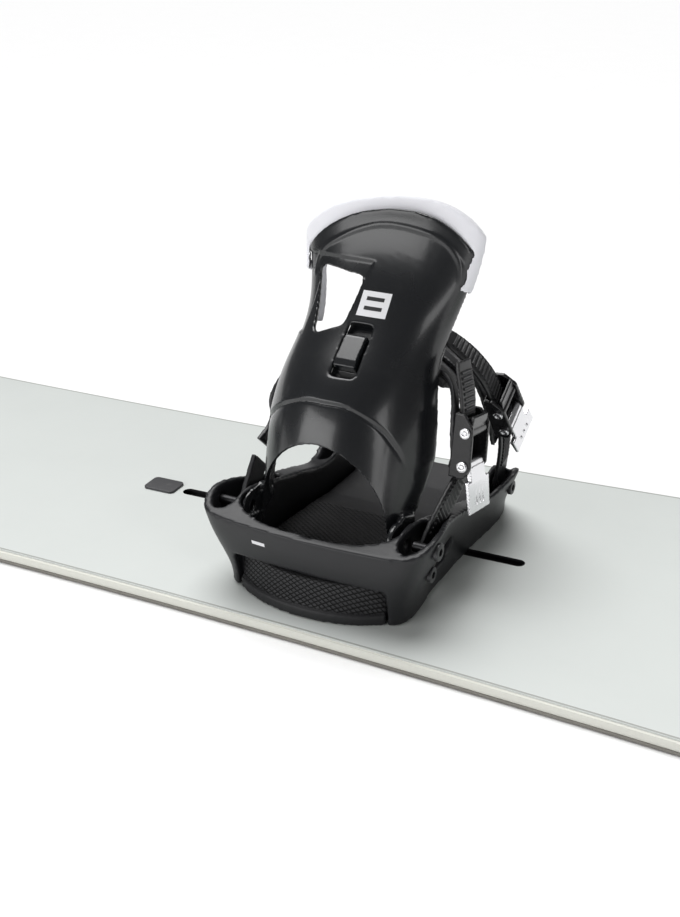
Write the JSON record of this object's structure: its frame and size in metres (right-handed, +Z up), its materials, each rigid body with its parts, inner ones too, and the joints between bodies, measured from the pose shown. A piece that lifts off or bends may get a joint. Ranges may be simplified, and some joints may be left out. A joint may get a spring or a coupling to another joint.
{
  "type": "snowboard with bindings",
  "caption": "Twin-tip snowboard with a channel mount and a pair of strap bindings: hooped baseplate, folding highback, ankle and toe straps on ratchet buckles.",
  "frame": {"origin": "centre of the flat running base, on its underside", "axes": "+X along the board, +Y across it to the toe side, +Z up from the base"},
  "size_m": [1.5399, 0.2979, 0.233],
  "materials": {
    "topsheet_lacquer": "satin lacquer, pale grey-white",
    "base_plastic": "waxed sintered polyethylene",
    "edge_steel": "dark ground steel",
    "sidewall_plastic": "machined, warm pale grey",
    "wood_core": "laminated wood, enclosed",
    "channel_plastic": "moulded black",
    "plug_plastic": "moulded dark grey",
    "black_nylon": "fine-textured moulded nylon",
    "black_foam": "moulded foam with a diamond tread",
    "highback_nylon": "satin-gloss moulded nylon",
    "white_foam": "soft white foam liner",
    "strap_plastic": "satin moulded",
    "strap_fabric": "padded textile",
    "ladder_plastic": "moulded, toothed",
    "buckle_nylon": "glossy moulded",
    "lever_alloy": "bright satin die-cast",
    "rivet_steel": "polished",
    "black_screw": "black oxide",
    "fastener_steel": "zinc plated"
  },
  "bodies": {
    "board": {"base_sheet": "base_plastic", "steel_edge": "edge_steel", "sidewall": "sidewall_plastic", "core": "wood_core", "topsheet": "topsheet_lacquer", "channel_tracks": "channel_plastic", "channel_plugs": "plug_plastic"},
    "right_mount": {"right_mounting_disc": "black_nylon", "right_disc_screws": "fastener_steel", "right_channel_nuts": "fastener_steel"},
    "right_base": {"right_baseplate": "black_nylon", "right_heel_pad": "black_foam", "right_footbed": "black_foam", "right_hinge_screws": "black_screw", "right_strap_screws": "black_screw"},
    "right_highback": {"right_highback": "highback_nylon", "right_highback_pad": "white_foam"},
    "right_lean_adjuster": {"right_lean_adjuster": "highback_nylon"},
    "right_ankle_strap": {"right_ankle_strap": "strap_plastic", "right_ankle_strap_pad": "strap_fabric", "right_ankle_connector": "strap_plastic", "right_ankle_ladder": "ladder_plastic", "right_ankle_buckle": "buckle_nylon", "right_ankle_buckle_pins": "rivet_steel"},
    "right_ankle_lever": {"right_ankle_lever": "lever_alloy"},
    "right_ankle_pawl": {"right_ankle_pawl": "buckle_nylon"},
    "right_toe_strap": {"right_toe_strap": "strap_plastic", "right_toe_connector": "strap_plastic", "right_toe_ladder": "ladder_plastic", "right_toe_buckle": "buckle_nylon", "right_toe_buckle_pins": "rivet_steel"},
    "right_toe_lever": {"right_toe_lever": "lever_alloy"},
    "right_toe_pawl": {"right_toe_pawl": "buckle_nylon"},
    "left_mount": {"left_mounting_disc": "black_nylon", "left_disc_screws": "fastener_steel", "left_channel_nuts": "fastener_steel"},
    "left_base": {"left_baseplate": "black_nylon", "left_heel_pad": "black_foam", "left_footbed": "black_foam", "left_hinge_screws": "black_screw", "left_strap_screws": "black_screw"},
    "left_highback": {"left_highback": "highback_nylon", "left_highback_pad": "white_foam"},
    "left_lean_adjuster": {"left_lean_adjuster": "highback_nylon"},
    "left_ankle_strap": {"left_ankle_strap": "strap_plastic", "left_ankle_strap_pad": "strap_fabric", "left_ankle_connector": "strap_plastic", "left_ankle_ladder": "ladder_plastic", "left_ankle_buckle": "buckle_nylon", "left_ankle_buckle_pins": "rivet_steel"},
    "left_ankle_lever": {"left_ankle_lever": "lever_alloy"},
    "left_ankle_pawl": {"left_ankle_pawl": "buckle_nylon"},
    "left_toe_strap": {"left_toe_strap": "strap_plastic", "left_toe_connector": "strap_plastic", "left_toe_ladder": "ladder_plastic", "left_toe_buckle": "buckle_nylon", "left_toe_buckle_pins": "rivet_steel"},
    "left_toe_lever": {"left_toe_lever": "lever_alloy"},
    "left_toe_pawl": {"left_toe_pawl": "buckle_nylon"}
  },
  "joints": [
    {"name": "right_stance_slide", "type": "slide", "parent": "board", "child": "right_mount", "axis": [1, 0, 0], "range_m": [-0.04, 0.04]},
    {"name": "right_stance_angle", "type": "hinge", "parent": "right_mount", "child": "right_base", "pos_m": [0.28, 0, 0.008], "axis": [0, 0, 1], "range_deg": [-27, 27]},
    {"name": "right_highback_fold", "type": "hinge", "parent": "right_base", "child": "right_highback", "pos_m": [0.2755, -0.08588, 0.056], "axis": [0.9986, -0.0523, 0], "range_deg": [0, 14]},
    {"name": "right_lean_adjust", "type": "slide", "parent": "right_highback", "child": "right_lean_adjuster", "axis": [0.0389, 0.7421, 0.6691], "range_m": [-0.0036, 0.0036]},
    {"name": "right_ankle_strap_swing", "type": "hinge", "parent": "right_base", "child": "right_ankle_strap", "pos_m": [0.27571, -0.08189, 0.038], "axis": [0.9986, -0.0523, 0], "range_deg": [-3, 0]},
    {"name": "right_ankle_lever_lift", "type": "hinge", "parent": "right_ankle_strap", "child": "right_ankle_lever", "pos_m": [0.34739, -0.03256, 0.08722], "axis": [-0.0514, -0.9803, 0.1908], "range_deg": [0, 90]},
    {"name": "right_ankle_pawl_press", "type": "hinge", "parent": "right_ankle_strap", "child": "right_ankle_pawl", "pos_m": [0.34719, -0.02873, 0.10685], "axis": [0.0514, 0.9803, -0.1908], "range_deg": [0, 12], "stiffness_Nm_per_rad": 0.05, "springref_deg": -6.88},
    {"name": "right_toe_strap_swing", "type": "hinge", "parent": "right_base", "child": "right_toe_strap", "pos_m": [0.28262, 0.04993, 0.036], "axis": [0.9986, -0.0523, 0], "range_deg": [-14, 1]},
    {"name": "right_toe_lever_lift", "type": "hinge", "parent": "right_toe_strap", "child": "right_toe_lever", "pos_m": [0.35305, 0.0242, 0.09625], "axis": [-0.0444, -0.8469, -0.5299], "range_deg": [0, 90]},
    {"name": "right_toe_pawl_press", "type": "hinge", "parent": "right_toe_strap", "child": "right_toe_pawl", "pos_m": [0.3511, 0.01585, 0.10976], "axis": [0.0444, 0.8469, 0.5299], "range_deg": [0, 12], "stiffness_Nm_per_rad": 0.04, "springref_deg": -6.88},
    {"name": "left_stance_slide", "type": "slide", "parent": "board", "child": "left_mount", "axis": [-1, 0, 0], "range_m": [-0.04, 0.04]},
    {"name": "left_stance_angle", "type": "hinge", "parent": "left_mount", "child": "left_base", "pos_m": [-0.28, 0, 0.008], "axis": [0, 0, -1], "range_deg": [-27, 27]},
    {"name": "left_highback_fold", "type": "hinge", "parent": "left_base", "child": "left_highback", "pos_m": [-0.2755, -0.08588, 0.056], "axis": [0.9986, 0.0523, 0], "range_deg": [0, 14]},
    {"name": "left_lean_adjust", "type": "slide", "parent": "left_highback", "child": "left_lean_adjuster", "axis": [-0.0389, 0.7421, 0.6691], "range_m": [-0.0036, 0.0036]},
    {"name": "left_ankle_strap_swing", "type": "hinge", "parent": "left_base", "child": "left_ankle_strap", "pos_m": [-0.27571, -0.08189, 0.038], "axis": [0.9986, 0.0523, 0], "range_deg": [-3, 0]},
    {"name": "left_ankle_lever_lift", "type": "hinge", "parent": "left_ankle_strap", "child": "left_ankle_lever", "pos_m": [-0.34739, -0.03256, 0.08722], "axis": [-0.0514, 0.9803, -0.1908], "range_deg": [0, 90]},
    {"name": "left_ankle_pawl_press", "type": "hinge", "parent": "left_ankle_strap", "child": "left_ankle_pawl", "pos_m": [-0.34719, -0.02873, 0.10685], "axis": [0.0514, -0.9803, 0.1908], "range_deg": [0, 12], "stiffness_Nm_per_rad": 0.05, "springref_deg": -6.88},
    {"name": "left_toe_strap_swing", "type": "hinge", "parent": "left_base", "child": "left_toe_strap", "pos_m": [-0.28262, 0.04993, 0.036], "axis": [0.9986, 0.0523, 0], "range_deg": [-14, 1]},
    {"name": "left_toe_lever_lift", "type": "hinge", "parent": "left_toe_strap", "child": "left_toe_lever", "pos_m": [-0.35305, 0.0242, 0.09625], "axis": [-0.0444, 0.8469, 0.5299], "range_deg": [0, 90]},
    {"name": "left_toe_pawl_press", "type": "hinge", "parent": "left_toe_strap", "child": "left_toe_pawl", "pos_m": [-0.3511, 0.01585, 0.10976], "axis": [0.0444, -0.8469, -0.5299], "range_deg": [0, 12], "stiffness_Nm_per_rad": 0.04, "springref_deg": -6.88}
  ]
}
